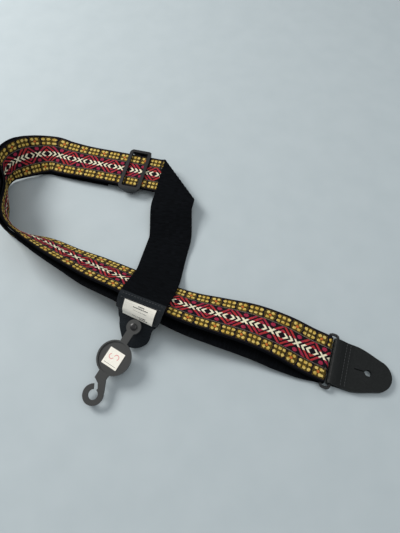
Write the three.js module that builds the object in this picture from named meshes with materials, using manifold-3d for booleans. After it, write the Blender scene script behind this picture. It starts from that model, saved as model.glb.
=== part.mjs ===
// A 50 mm woven guitar strap, lying on a table in its shortest adjustment.
// One webbing with a patterned ribbon sewn along it runs from the fixed leather tab, over a
// diagonal fold, through a tri-glide slider, round a standing bend and through an end ring, and
// comes back beneath itself to the slider's centre bar. Millimetres, +Z up, resting on Z = 0.
import * as THREE from "three";
import { mergeVertices } from "three/addons/utils/BufferGeometryUtils.js";
import Module from "manifold-3d";

const wasm = await Module();
wasm.setup();

// ---------------------------------------------------------------- driving dimensions
const WEB_WIDTH = 50;
const WEB_HALF_THICK = 0.6;
const RIBBON_WIDTH = 47.6;
const GAP = 0.3; // running gap kept between pieces that touch on the real strap
const RIBBON_LOW = WEB_HALF_THICK + 0.52;
const RIBBON_HIGH = RIBBON_LOW + 0.48;
const ROW_STEP = [3, 11]; // least and greatest spacing of the loft's rows along the strap
const ROW_TURN = 0.055; // the strap's greatest turn between rows, radians

const BAR_RADIUS = 1.5; // the end ring's round bars
const RING_BAR = [160.5, -136.5, 4.05]; // middle of the bar inside the strap's end fold
const RING_HEADING = -19.5; // heading of the strap at the end ring, degrees
const RING_PITCH = 8.6; // from one ring bar's middle to the other's
const RING_INNER = 53;
const END_RADIUS = 2.55; // webbing's middle round the ring's bar

const TAB = {
  half: 23.5, shoulder: 20, length: 60, thick: 1.8, inner: 1.95, settle: 12,
  hole: 3.3, holeAt: 37, slitWidth: 1.1, slit: [23, 34], stitches: [12.5, 16.5],
};

const STRAIGHT = { from: [-22.3, 98.9, 11], heading: 166.31, bank: 6 }; // stretch the slider runs on
const FOLD = { radius: 3.4, heading: 77.5 }; // heading of the strap as it comes to the fold
const SLIDER = { at: 26, half: 14.2, bar: 4.2, inner: 26, outer: 29.8, centreRadius: 1.2 };
const SEWN = { loop: 2.1, top: 30, under: 3, centre: 3.6 }; // sewn end of the strap on the centre bar
const OPEN_LINK = 27; // the lower layer stops this far short of the slider's middle

const HANGER = {
  at: [-31, -109.2, 21.2], toward: [-0.52, -0.84], fall: 10.5, thick: 2.2,
  head: 7.6, headHole: 1.7, disc: 17.5, discAt: 35, floor: 1, rim: 1.6,
};

const HOOK = { centre: [73.5, 2.5], outer: 10.3, inner: 5 };

// ---------------------------------------------------------------- helpers
const group = new THREE.Group();
const rad = THREE.MathUtils.degToRad;
const vec = (x, y, z) => new THREE.Vector3(x, y, z);
const plan = (degrees) => vec(Math.cos(rad(degrees)), Math.sin(rad(degrees)), 0);
const mix = (a, b, t) => a + (b - a) * t;
const clamp = THREE.MathUtils.clamp;

function finish(color, roughness) {
  return new THREE.MeshStandardMaterial({ color, roughness });
}

const FINISH = {
  webbing: finish(0x0d0e12, 0.85),
  ribbon: finish(0x8a3a33, 0.8),
  plastic: finish(0x1b1c1e, 0.45),
  grey: finish(0x4a4a47, 0.5),
  leather: finish(0x1c1e1f, 0.5),
  suede: finish(0x202326, 0.95),
  thread: finish(0x2a2b2e, 0.8),
  paper: finish(0xeeeade, 0.7),
};

function addMesh(name, geometry, material) {
  const mesh = new THREE.Mesh(geometry, material);
  mesh.name = name;
  group.add(mesh);
}

function solidOf(geometry) {
  const bare = geometry.clone();
  bare.deleteAttribute("normal");
  bare.deleteAttribute("uv");
  const merged = mergeVertices(bare, 1e-5);
  return new wasm.Manifold(new wasm.Mesh({
    numProp: 3,
    vertProperties: new Float32Array(merged.attributes.position.array),
    triVerts: new Uint32Array(merged.index.array),
  }));
}

function geometryOf(solid) {
  const mesh = solid.getMesh();
  const geometry = new THREE.BufferGeometry();
  geometry.setAttribute("position", new THREE.BufferAttribute(mesh.vertProperties, 3));
  geometry.setIndex(new THREE.BufferAttribute(mesh.triVerts, 1));
  return geometry;
}

function joined(parts) {
  const [first, ...rest] = parts.map(solidOf);
  return geometryOf(rest.reduce((whole, next) => whole.add(next), first));
}

function cut(geometry, tools) {
  return geometryOf(tools.map(solidOf).reduce((whole, t) => whole.subtract(t), solidOf(geometry)));
}

// A local frame: x, y and z directions and an origin, as one matrix.
function basis(x, y, z, origin) {
  return new THREE.Matrix4().makeBasis(x, y, z).setPosition(origin);
}

const placed = (geometry, matrix) => geometry.clone().applyMatrix4(matrix);
const shifted = (geometry, x, y, z) => geometry.clone().translate(x, y, z);

function plate(points, low, high, holes = []) {
  const shape = new THREE.Shape(points.map(([x, y]) => new THREE.Vector2(x, y)));
  shape.holes.push(...holes.map((hole) => new THREE.Path(hole.map(([x, y]) => new THREE.Vector2(x, y)))));
  const solid = new THREE.ExtrudeGeometry(shape, { depth: high - low, bevelEnabled: false });
  return solid.translate(0, 0, low);
}

function arc(cx, cy, radius, from, to, steps = 12) {
  return Array.from({ length: steps + 1 }, (_, i) => {
    const a = rad(mix(from, to, i / steps));
    return [cx + radius * Math.cos(a), cy + radius * Math.sin(a)];
  });
}

const circle = (cx, cy, radius, steps = 32) => arc(cx, cy, radius, 0, 360, steps).slice(0, -1);

function roundedBox(halfX, halfY, radius) {
  return [[1, 1, 0], [-1, 1, 90], [-1, -1, 180], [1, -1, 270]].flatMap(([sx, sy, a]) =>
    arc(sx * (halfX - radius), sy * (halfY - radius), radius, a, a + 90, 6));
}

function tube(points, radius, segments, sides = 12, closed = false) {
  const path = new THREE.CatmullRomCurve3(points, closed, "centripetal");
  return new THREE.TubeGeometry(path, segments, radius, sides, closed);
}

// ---------------------------------------------------------------- sheets
// A sheet is the middle surface of the webbing: { length, at(s, t) }, with s along and t across to
// the right of the heading. at gives the point and up, the direction the ribbon side faces.

// Route rows are [x, y, z, bank, outset, drop, tilt]. bank lifts the right edge, in degrees. The
// rest place the layer beneath: outward across the band, under it, and its bank less the band's.
function routeSheet(rows) {
  const curve = (f) => {
    const path = new THREE.CatmullRomCurve3(rows.map(f), false, "centripetal");
    path.arcLengthDivisions = 3000;
    return path;
  };
  const path = curve((r) => vec(r[0], r[1], r[2]));
  const lean = curve((r, i) => vec(i * 20, r[3], 0));
  const apart = curve((r) => vec(r[4] ?? 0, r[5] ?? 0, r[6] ?? 0));
  const length = path.getLength();
  const frame = (s) => {
    const t = path.getUtoTmapping(clamp(s / length, 0, 1));
    const tangent = path.getTangent(t);
    const bank = rad(lean.getPoint(t).y);
    const across = vec(tangent.y, -tangent.x, 0).normalize().multiplyScalar(Math.cos(bank));
    across.z = Math.sin(bank);
    across.addScaledVector(tangent, -across.dot(tangent)).normalize();
    const up = across.clone().cross(tangent).normalize();
    const beyond = s < 0 ? s : Math.max(0, s - length);
    const [outset, drop, tilt] = apart.getPoint(t).toArray();
    const centre = path.getPoint(t).addScaledVector(tangent, beyond);
    return { centre, across, up, apart: [outset, drop, rad(tilt)] };
  };
  const at = (s, t) => {
    const f = frame(s);
    return { point: f.centre.addScaledVector(f.across, t), up: f.up };
  };
  const beneath = (s, t) => {
    const { centre, across, up, apart: [outset, drop, tilt] } = frame(length - s);
    const middle = centre.addScaledVector(across, outset).addScaledVector(up, -drop);
    const leaning = across.clone().multiplyScalar(Math.cos(tilt)).addScaledVector(up, Math.sin(tilt));
    const down = across.multiplyScalar(Math.sin(tilt)).addScaledVector(up, -Math.cos(tilt));
    return { point: middle.addScaledVector(leaning, t), up: down };
  };
  return { length, at, beneath: { length, at: beneath } };
}

// Half a turn round a bar, from above it, heading out, to below it.
function turnSheet(centre, heading, across, radius) {
  const over = across.clone().cross(heading);
  return {
    length: Math.PI * radius,
    at: (s, t) => {
      const up = heading.clone().multiplyScalar(Math.sin(s / radius))
        .addScaledVector(over, Math.cos(s / radius));
      return { point: centre.clone().addScaledVector(up, radius).addScaledVector(across, t), up };
    },
  };
}

function chain(sheets) {
  const starts = sheets.map((_, i) => sheets.slice(0, i).reduce((sum, sheet) => sum + sheet.length, 0));
  const at = (s, t) => {
    const index = starts.findLastIndex((start) => s >= start);
    const i = Math.max(0, index);
    return sheets[i].at(s - starts[i], t);
  };
  return { starts, at, length: starts.at(-1) + sheets.at(-1).length };
}

// Lofts a closed band over rows { s, from, to, low, high, skew } of a sheet: from and to are its
// edges across, low and high its faces over the middle surface, and skew slants the row.
function band(sheet, rows, columns = 4) {
  const positions = [];
  rows.forEach((row) => {
    for (const height of [row.low, row.high]) {
      for (let j = 0; j <= columns; j += 1) {
        const t = mix(row.from, row.to, j / columns);
        const spot = sheet.at(row.s + (row.skew ?? 0) * t, t);
        positions.push(...spot.point.addScaledVector(spot.up, height).toArray());
      }
    }
  });
  const index = [];
  const id = (i, side, j) => (i * 2 + side) * (columns + 1) + j;
  const quad = (a, b, c, d) => index.push(a, b, c, a, c, d);
  for (let i = 0; i + 1 < rows.length; i += 1) {
    for (let j = 0; j < columns; j += 1) {
      quad(id(i, 1, j), id(i, 1, j + 1), id(i + 1, 1, j + 1), id(i + 1, 1, j));
      quad(id(i, 0, j + 1), id(i, 0, j), id(i + 1, 0, j), id(i + 1, 0, j + 1));
    }
    quad(id(i, 0, 0), id(i, 1, 0), id(i + 1, 1, 0), id(i + 1, 0, 0));
    quad(id(i, 1, columns), id(i, 0, columns), id(i + 1, 0, columns), id(i + 1, 1, columns));
  }
  const last = rows.length - 1;
  for (let j = 0; j < columns; j += 1) {
    quad(id(0, 0, j), id(0, 0, j + 1), id(0, 1, j + 1), id(0, 1, j));
    quad(id(last, 0, j + 1), id(last, 0, j), id(last, 1, j), id(last, 1, j + 1));
  }
  const geometry = new THREE.BufferGeometry();
  geometry.setAttribute("position", new THREE.Float32BufferAttribute(positions, 3));
  geometry.setIndex(index);
  return facingOut(geometry);
}

function facingOut(geometry) {
  const { array } = geometry.index;
  const corner = (i) => vec(0, 0, 0).fromBufferAttribute(geometry.attributes.position, array[i]);
  let volume = 0;
  for (let i = 0; i < array.length; i += 3) {
    volume += corner(i).dot(corner(i + 1).cross(corner(i + 2)));
  }
  for (let i = 0; volume < 0 && i < array.length; i += 3) {
    [array[i + 1], array[i + 2]] = [array[i + 2], array[i + 1]];
  }
  return geometry;
}

function rowsBetween(from, to, step, shape) {
  const count = Math.max(1, Math.round((to - from) / step));
  return Array.from({ length: count + 1 }, (_, i) => {
    const s = mix(from, to, i / count);
    return { s, ...shape(s, i / count) };
  });
}

// ---------------------------------------------------------------- the slider's straight stretch
const topHeading = plan(STRAIGHT.heading);
const topAcross = vec(topHeading.y, -topHeading.x, 0).multiplyScalar(Math.cos(rad(STRAIGHT.bank)));
topAcross.z = Math.sin(rad(STRAIGHT.bank));
const topUp = topAcross.clone().cross(topHeading).normalize();
const topStart = vec(...STRAIGHT.from);
const onTop = (distance) => topStart.clone().addScaledVector(topHeading, distance).toArray();

// ---------------------------------------------------------------- the diagonal fold
// The band rolls over a crease and leaves beneath itself along the straight stretch. Both of its
// layers lie parallel to that stretch's plane.
const foldHeading = plan(FOLD.heading);
foldHeading.addScaledVector(topUp, -foldHeading.dot(topUp)).normalize();
const crease = foldHeading.clone().add(topHeading).normalize();
const outward = crease.clone().cross(topUp).normalize();
const foldAcross = foldHeading.clone().cross(topUp).normalize();
const alongOut = foldHeading.dot(outward);
const alongCrease = foldHeading.dot(crease);
const halfRoll = Math.PI * FOLD.radius;
const rollEnd = halfRoll / alongOut; // where the band's middle leaves the roll
const edgeLag = (WEB_WIDTH / 2) * (foldAcross.dot(outward) / alongOut);
const FOLD_BEFORE = edgeLag + 2;
const FOLD_AFTER = rollEnd + edgeLag + 1;

function foldFrom(origin, s, t) {
  const u = s * alongOut + t * foldAcross.dot(outward);
  const v = s * alongCrease + t * foldAcross.dot(crease);
  const turn = clamp(u, 0, halfRoll) / FOLD.radius;
  const reach = u < 0 ? u : u > halfRoll ? halfRoll - u : FOLD.radius * Math.sin(turn);
  const point = origin.clone().addScaledVector(crease, v).addScaledVector(outward, reach)
    .addScaledVector(topUp, FOLD.radius * (1 + Math.cos(turn)));
  const up = topUp.clone().multiplyScalar(-Math.cos(turn)).addScaledVector(outward, -Math.sin(turn));
  return { point, up };
}

const foldOrigin = vec(...onTop(0.5)).sub(foldFrom(vec(0, 0, 0), FOLD_AFTER, 0).point);
const foldAt = (s, t) => foldFrom(foldOrigin, s, t);
const foldSheet = {
  length: FOLD_BEFORE + FOLD_AFTER,
  at: (s, t) => foldAt(s - FOLD_BEFORE, t),
};

// ---------------------------------------------------------------- the strap's routes
// Rows of the fixed end, from its tab's tip to the fold. Its ribbon side faces the table.
const foldEntry = foldAt(-FOLD_BEFORE, 0).point;
const foldEntryBefore = foldAt(-FOLD_BEFORE - 10, 0).point;
const entryBank = THREE.MathUtils.radToDeg(Math.asin(foldAcross.z));
const endRoute = routeSheet([
  [-28.5, -126, 6.2, 0], [-29.8, -115, 9.6, 0], [-29.6, -106, 12.8, 0], [-28.2, -101, 16.6, -1.5],
  [-26.6, -97.4, 28.4, -3.5], [-23, -89.5, 36, -6], [-19.8, -80, 33.6, -9.5], [-16.2, -69, 25.6, -14],
  [-13, -57, 18, -15], [-10.8, -46, 10.8, -12], [-9, -34, 6, -8], [-6.6, -20, 3.6, -3],
  [-3.6, -6, 2.6, 0], [-0.2, 9, 3.6, 1.5], [foldEntryBefore.x, foldEntryBefore.y,
    foldEntryBefore.z, entryBank], [foldEntry.x, foldEntry.y, foldEntry.z, entryBank],
]);
const faceDown = { length: endRoute.length, at: (s, t) => {
  const spot = endRoute.at(s, t);
  return { point: spot.point, up: spot.up.negate() };
} };

// Rows of the upper layer, from the fold round to the end ring, with the lower layer's place.
const foldExit = foldAt(FOLD_AFTER, 0).point;
const upperRoute = routeSheet([
  [foldExit.x, foldExit.y, foldExit.z, STRAIGHT.bank, 0, 6.6, 0], ...[5, 19, 34, 50, 68, 90].map((d) =>
    [...onTop(d), STRAIGHT.bank, 0, 6.6, 0]),
  [-125.5, 124, 11, 9, 0, 6.2, -1], [-142, 128.5, 11.5, 13, -0.5, 5.6, -2],
  [-157, 132, 13.5, 20, -1, 5.3, -2], [-174, 127, 18, 37, 0, 5, -1], [-188, 116, 24.5, 60, 0, 4.8, 0],
  [-200, 102, 28.6, 82, -1.3, 5, 1], [-205, 86, 28.5, 98, -3, 4.6, 1], [-199, 68, 28, 106, -3, 4, 0],
  [-193, 50, 27.9, 107, -3, 4, 0], [-190, 29, 27.5, 103, -2.5, 4.4, 0], [-179, 10.5, 27.6, 86, -1, 4.6, 0],
  [-167.5, 1.5, 27, 72, 0.5, 4.2, 1], [-152, -5, 25.4, 58, 1.5, 4, 2], [-134.7, -12.6, 23.2, 50, 1, 4.2, 0],
  [-107.7, -26.6, 21.7, 44, 0, 5.5, -3], [-78.7, -39.6, 19, 36, 2.4, 7, -4],
  [-45.5, -54.5, 18.4, 34, 3.5, 7.4, -3.6], [2.9, -77.5, 17.2, 30, 3.6, 7.6, -4],
  [28, -86.5, 15.4, 25, 5, 8.2, -4.6], [55.7, -94, 14.6, 18, 6.3, 9.2, -3.4],
  [89.8, -104, 14.6, 10, 7.5, 10.6, -1.2], [119.8, -116.5, 12.6, 5, 7.6, 9.8, -0.6],
  [142, -128, 9, 2, 4.6, 7, 0], [160.5, -136.5, 6.6, 0, 0, 5.1, 0],
]);
const ringHeading = plan(RING_HEADING);
const ringAcross = vec(ringHeading.y, -ringHeading.x, 0);
const up = vec(0, 0, 1);
const ringTurn = turnSheet(vec(...RING_BAR), ringHeading, ringAcross, END_RADIUS);
// The fold turns the band over, so past it the band's right edge is its left.
const turnedOver = ({ length, at }) => ({ length, at: (s, t) => at(s, -t) });
const strap = chain([
  faceDown, foldSheet, turnedOver(upperRoute), turnedOver(ringTurn), turnedOver(upperRoute.beneath),
]);
const [, FOLD_START, UPPER_START, RING_START, LOWER_START] = strap.starts;

// The row slants over the fold until it lies along the crease, and squares up again after it.
function skewAt(s) {
  const middle = FOLD_START + FOLD_BEFORE + rollEnd / 2;
  const away = Math.abs(s - middle) - rollEnd / 2;
  return -(edgeLag / (WEB_WIDTH / 2)) * clamp(1 - away / 46, 0, 1);
}

// Rows close together where the strap bends or twists and far apart where it runs straight.
function strapStations(from, to) {
  const stations = [from];
  while (stations.at(-1) < to - ROW_STEP[1]) {
    const s = stations.at(-1);
    const turning = Math.max(...[-20, 20].map((t) => strap.at(s, t).up.angleTo(strap.at(s + 2, t).up))) / 2;
    stations.push(s + clamp(ROW_TURN / turning, ...ROW_STEP));
  }
  const left = to - stations.at(-1);
  const parts = Math.ceil(left / ROW_STEP[0] / 2);
  const last = rowsBetween(stations.at(-1), to, left / parts, () => ({}));
  return [...stations.slice(0, -1), ...last.map((row) => row.s)];
}

function strapRows(width, low, high, from, to) {
  const edges = { from: -width / 2, to: width / 2, low, high };
  const foldFrom = FOLD_START + FOLD_BEFORE;
  const stations = [
    ...strapStations(from, foldFrom - 6),
    ...rowsBetween(foldFrom, foldFrom + rollEnd, rollEnd / 10, () => ({})).map((row) => row.s),
    ...strapStations(foldFrom + rollEnd + 6, RING_START - 4),
    ...rowsBetween(RING_START, LOWER_START, END_RADIUS * 0.32, () => ({})).map((row) => row.s),
    ...strapStations(LOWER_START + 4, to),
  ];
  return stations.map((s) => ({ ...edges, s, skew: skewAt(s) }));
}

const TAB_OVERLAP = 46; // the webbing starts this far from the fixed tab's tip
const sliderSpot = UPPER_START + 3.4 + SLIDER.at;
const lowerEnd = LOWER_START + (RING_START - sliderSpot) - OPEN_LINK;
addMesh("strap_webbing", band(strap, strapRows(
  WEB_WIDTH, -WEB_HALF_THICK, WEB_HALF_THICK, TAB_OVERLAP, lowerEnd)), FINISH.webbing);
addMesh("jacquard_ribbon", band(strap, strapRows(
  RIBBON_WIDTH, RIBBON_LOW, RIBBON_HIGH, TAB_OVERLAP, lowerEnd)), FINISH.ribbon);

// ---------------------------------------------------------------- the sewn end and its slider
// The slider's own frame: x on along the strap's heading, y across, z up, from the lower layer.
const onSlider = basis(topHeading, topAcross.clone().negate(), topUp,
  vec(...onTop(SLIDER.at)).addScaledVector(topUp, -8.1));
const SEWN_TURN_X = -1.3;
const sewnCentre = vec(SEWN_TURN_X, 0, SEWN.centre);
const sewnTurn = turnSheet(vec(0, 0, 0), vec(1, 0, 0), vec(0, -1, 0), SEWN.loop);
const flatStretch = (fromX, z, direction, length) => ({
  length,
  at: (s, t) => ({ point: vec(fromX + direction * s, -t, z), up: vec(0, 0, z > SEWN.centre ? 1 : -1) }),
});
const sewnSheet = chain([
  flatStretch(SEWN.top, SEWN.centre + SEWN.loop, -1, SEWN.top - SEWN_TURN_X),
  { length: sewnTurn.length, at: (s, t) => {
    const spot = sewnTurn.at(s, t);
    const mirrored = vec(-spot.point.x, spot.point.y, spot.point.z).add(sewnCentre);
    return { point: mirrored, up: vec(-spot.up.x, spot.up.y, spot.up.z) };
  } },
  flatStretch(SEWN_TURN_X, SEWN.centre - SEWN.loop, 1, SEWN.under - SEWN_TURN_X),
]);
const sewnRows = (width, low, high, inset) => {
  const edges = () => ({ from: -width / 2, to: width / 2, low, high });
  const [, turn, under] = sewnSheet.starts;
  return [
    ...rowsBetween(inset, turn - 2, 14, edges), ...rowsBetween(turn, under, SEWN.loop * 0.32, edges),
    ...rowsBetween(under + 2, sewnSheet.length - inset, 2, edges),
  ];
};
addMesh("sewn_end_webbing", placed(band(sewnSheet, sewnRows(
  WEB_WIDTH, -WEB_HALF_THICK, WEB_HALF_THICK, 0)), onSlider), FINISH.webbing);
addMesh("sewn_end_ribbon", placed(band(sewnSheet, sewnRows(
  RIBBON_WIDTH, RIBBON_LOW, RIBBON_HIGH, 0.5)), onSlider), FINISH.ribbon);

function stitchBox(halfX, halfY, width) {
  const bar = (x0, y0, x1, y1) => {
    const length = Math.hypot(x1 - x0, y1 - y0) + width;
    const solid = new THREE.BoxGeometry(length, width, 0.4).rotateZ(Math.atan2(y1 - y0, x1 - x0));
    return solid.translate((x0 + x1) / 2, (y0 + y1) / 2, 0);
  };
  return joined([
    bar(-halfX, -halfY, halfX, -halfY), bar(halfX, -halfY, halfX, halfY),
    bar(halfX, halfY, -halfX, halfY), bar(-halfX, halfY, -halfX, -halfY),
    bar(-halfX, -halfY, halfX, halfY), bar(-halfX, halfY, halfX, -halfY),
  ]);
}
addMesh("sewn_end_stitching", placed(shifted(stitchBox(8, 21, 0.8), 17, 0, 4.6), onSlider), FINISH.thread);

function sliderGeometry() {
  const { half, bar, inner, outer, centreRadius } = SLIDER;
  const [low, high] = [9.9, 12.6];
  const window = roundedBox(half - bar, inner, 1.5).reverse();
  const top = plate(roundedBox(half, outer, 5), low, high, [window]);
  const side = [[-half + 3, high], [-half + 1, low + 0.4], [-4, SEWN.centre - centreRadius],
    [4, SEWN.centre - centreRadius], [half - 1, low + 0.4], [half - 3, high]];
  const rail = plate(side, inner, outer).rotateX(Math.PI / 2);
  const rails = [rail.clone().translate(0, 2 * inner + outer - inner, 0), rail.clone()];
  const centre = new THREE.CylinderGeometry(centreRadius, centreRadius, inner + outer, 20);
  const centreBars = [-1.3, 1.3].map((x) => shifted(centre, x, 0, SEWN.centre));
  const web = new THREE.BoxGeometry(2.6, inner + outer, 2 * centreRadius).translate(0, 0, SEWN.centre);
  return joined([top, ...rails, ...centreBars, web]);
}
addMesh("slider_frame", placed(sliderGeometry(), onSlider), FINISH.plastic);

// ---------------------------------------------------------------- the end ring
const ringPoint = (x, y, z = 0) => vec(...RING_BAR)
  .addScaledVector(ringHeading, x).addScaledVector(ringAcross, y).addScaledVector(up, z);
const ringReach = RING_INNER / 2 + BAR_RADIUS;
const ringCorners = roundedBox(RING_PITCH / 2, ringReach, 2.6)
  .map(([x, y]) => ringPoint(x + RING_PITCH / 2, y));
addMesh("end_ring", tube(ringCorners, BAR_RADIUS, 64, 10, true), FINISH.plastic);

// ---------------------------------------------------------------- the leather tab on the ring
const tabHalf = (x) => {
  if (x <= TAB.shoulder) {
    return TAB.half;
  }
  const t = clamp((x - TAB.shoulder) / (TAB.length - TAB.shoulder), 0, 1);
  const taper = TAB.half * (1 - 0.42 * t * t * (3 - 2 * t));
  const roundOff = 11;
  const beyond = Math.max(0, x - (TAB.length - roundOff));
  return taper * Math.sqrt(Math.max(0.02, 1 - (beyond / roundOff) ** 2));
};
const tabFold = ringPoint(RING_PITCH, 0);
const TAB_PLY = TAB.inner + TAB.thick / 2;
const plyGap = TAB.thick / 2 + GAP / 2;
const tabMiddle = (x) => -1.8 * THREE.MathUtils.smoothstep(x, 0, TAB.settle + 8);
const tabLift = (x) => mix(TAB_PLY, plyGap, THREE.MathUtils.smoothstep(x, 1, TAB.settle));
const tabPly = (side) => ({
  length: TAB.length - TAB_PLY,
  at: (s, t) => {
    const x = side > 0 ? TAB.length - TAB_PLY - s : s;
    const z = tabMiddle(x) + side * tabLift(x);
    return { point: ringPoint(RING_PITCH + x, t, z), up: vec(0, 0, side) };
  },
});
const tabTurn = turnSheet(tabFold, ringHeading.clone().negate(), ringAcross.clone().negate(), TAB_PLY);
const tabSheet = chain([tabPly(1), { length: tabTurn.length, at: (s, t) => tabTurn.at(s, -t) }, tabPly(-1)]);

function tabRows() {
  const total = tabSheet.length;
  const [, turn, under] = tabSheet.starts;
  const edges = (s) => {
    const x = Math.max(0, Math.abs(s - total / 2) - tabTurn.length / 2) + TAB_PLY;
    return { from: -tabHalf(x), to: tabHalf(x), low: -TAB.thick / 2, high: TAB.thick / 2 };
  };
  return [
    ...rowsBetween(0, 10, 1, edges), ...rowsBetween(13, turn - 1.5, 3, edges),
    ...rowsBetween(turn, under, tabTurn.length / 10, edges),
    ...rowsBetween(under + 1.5, total - 13, 3, edges), ...rowsBetween(total - 10, total, 1, edges),
  ];
}
const holeX = RING_PITCH + TAB.holeAt - TAB_PLY;
const slitMiddle = RING_PITCH + (TAB.slit[0] + TAB.slit[1]) / 2 - TAB_PLY;
const onRing = basis(ringHeading, ringAcross.clone().negate(), up, vec(...RING_BAR));
const buttonHole = new THREE.CylinderGeometry(TAB.hole, TAB.hole, 30, 28).rotateX(Math.PI / 2);
const slit = new THREE.BoxGeometry(TAB.slit[1] - TAB.slit[0], TAB.slitWidth, 30);
addMesh("ring_tab_leather", cut(band(tabSheet, tabRows()), [
  placed(shifted(buttonHole, holeX, 0, 0), onRing), placed(shifted(slit, slitMiddle, 0, 0), onRing),
]), FINISH.leather);

const rodSheet = (sheet, at) => ({
  length: 2 * TAB.half,
  at: (s, t) => sheet.at(at + t, s - TAB.half),
});
TAB.stitches.forEach((x, i) => {
  const across = tabHalf(x) - 1.5;
  const rows = rowsBetween(TAB.half - across, TAB.half + across, 6, () => (
    { from: -0.35, to: 0.35, low: TAB.thick / 2 + GAP, high: TAB.thick / 2 + GAP + 0.4 }));
  const sheet = rodSheet(tabSheet, TAB.length - x);
  addMesh(`ring_tab_stitch_row_${i + 1}`, band(sheet, rows, 1), FINISH.thread);
});

// ---------------------------------------------------------------- the fixed tab
function hangerFrame() {
  const level = vec(HANGER.toward[0], HANGER.toward[1], 0).normalize();
  const x = level.multiplyScalar(Math.cos(rad(HANGER.fall)));
  x.z = -Math.sin(rad(HANGER.fall));
  const y = vec(0, 0, 1).cross(x).normalize();
  return basis(x, y, x.clone().cross(y), vec(...HANGER.at));
}

// Two plies hold the webbing's end between them: soft lining on top, leather beneath.
const END = { tip: 13.5, half: 24.4, length: 57, meet: 44, hole: 1.7, stitches: [51.2, 54.6] };
const endHalf = (s) => {
  const widen = THREE.MathUtils.smoothstep(s, 4, 44);
  const taper = mix(END.tip, END.half, widen);
  const roundOff = 9;
  return taper * Math.sqrt(Math.max(0.03, 1 - (Math.max(0, roundOff - s) / roundOff) ** 2));
};
const endPly = (low, high, spread) => {
  const shape = (s) => {
    const lift = spread * THREE.MathUtils.smoothstep(s, END.meet - 14, END.meet);
    return { from: -endHalf(s), to: endHalf(s), low: low + lift, high: high + lift };
  };
  return [...rowsBetween(0, 8, 1, shape), ...rowsBetween(10, END.length, 2, shape)];
};
const onHanger = hangerFrame();
const pegBore = placed(new THREE.CylinderGeometry(END.hole, END.hole, 40, 24).rotateX(Math.PI / 2), onHanger);
addMesh("fixed_tab_leather", cut(band(endRoute, endPly(-1.2, -0.2, -2), 6),
  [pegBore]), FINISH.leather);
addMesh("fixed_tab_lining", cut(band(endRoute, endPly(0.2, 1.2, 0.7), 6),
  [pegBore]), FINISH.suede);
END.stitches.forEach((s, i) => {
  const across = endHalf(s) - 2;
  const sheet = { length: 60, at: (run, t) => endRoute.at(s + t, run - 30) };
  const rows = rowsBetween(30 - across, 30 + across, 6, () => (
    { from: -0.35, to: 0.35, low: 2.2, high: 2.6 }));
  addMesh(`fixed_tab_stitch_row_${i + 1}`, band(sheet, rows, 1), FINISH.thread);
});

// ---------------------------------------------------------------- the paper label
const LABEL = { length: 34, width: 17, at: 42, offset: 0.5 };
const labelRows = rowsBetween(LABEL.at - LABEL.width / 2, LABEL.at + LABEL.width / 2, 2, () => (
  { from: LABEL.offset - LABEL.length / 2, to: LABEL.offset + LABEL.length / 2, low: 2.2, high: 2.6 }));
addMesh("paper_label", band(endRoute, labelRows, 2), FINISH.paper);

// ---------------------------------------------------------------- the shop hanger and its peg
function hangerGeometry() {
  const { thick, head, headHole, disc, discAt, floor, rim } = HANGER;
  const half = thick / 2;
  const neck = plate([[0, -4], [discAt - 12, -4], [discAt - 12, 4], [0, 4]], -half, half);
  const stem = plate([[43, -5.5], [59.5, -5.5], [62.5, 0.6], [68.8, 5], [74, 12.6], [66, 10.5],
    [56, 5.5], [43, 5.5]], -half, half);
  const hookRing = plate(circle(...HOOK.centre, HOOK.outer, 40), -half, half,
    [circle(...HOOK.centre, HOOK.inner, 28).reverse()]);
  const mouth = plate([HOOK.centre, [57.7, 4.7], [59.6, -5.5]], -half - 1, half + 1);
  const body = joined([
    plate(circle(0, 0, head), -half, half), neck, stem, plate(circle(discAt, 0, disc, 56), -half, half),
  ]);
  const hook = cut(hookRing, [mouth]);
  const whole = joined([body, hook]);
  const recess = plate(circle(discAt, 0, disc - rim, 48), -half + floor, half + 1);
  return cut(whole, [recess, plate(circle(0, 0, headHole, 24), -half - 1, half + 1)]);
}
addMesh("shop_hanger", placed(hangerGeometry(), onHanger), FINISH.grey);
const stickerLow = -HANGER.thick / 2 + HANGER.floor + GAP;
addMesh("hanger_sticker", placed(shifted(plate(roundedBox(8.7, 8.7, 0.6), stickerLow, stickerLow + 0.3),
  HANGER.discAt + 1, 0, 0), onHanger), FINISH.paper);
const pegLine = [[0, -13.2], [1.6, -12.8], [2.6, -12], [2.6, -11.4], [1.15, -11.1], [1.15, 1.5], [3.6, 1.5],
  [3.4, 2.3], [2, 2.8], [0, 2.9]].map(([r, z]) => new THREE.Vector2(r, z));
const peg = joined([new THREE.LatheGeometry(pegLine, 24).rotateX(Math.PI / 2)]);
addMesh("hanger_peg", placed(peg, onHanger), FINISH.plastic);

// ---------------------------------------------------------------- into the part's frame
group.updateMatrixWorld(true);
const box = new THREE.Box3().setFromObject(group, true);
const centre = box.getCenter(vec(0, 0, 0));
group.children.forEach((mesh) => mesh.geometry.translate(-centre.x, -centre.y, -box.min.z));

export default group;
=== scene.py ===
"""The looks of a woven guitar strap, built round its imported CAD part: ribbon, webbing, leather
tabs, slider, ring and shop hanger, on a pale table. The strap's route is the part's own, in the
drawing's millimetres, and placed() turns it into metres in the part's frame."""

import math
import random

import bmesh
import bpy
import numpy as np
from mathutils import Matrix, Vector

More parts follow.
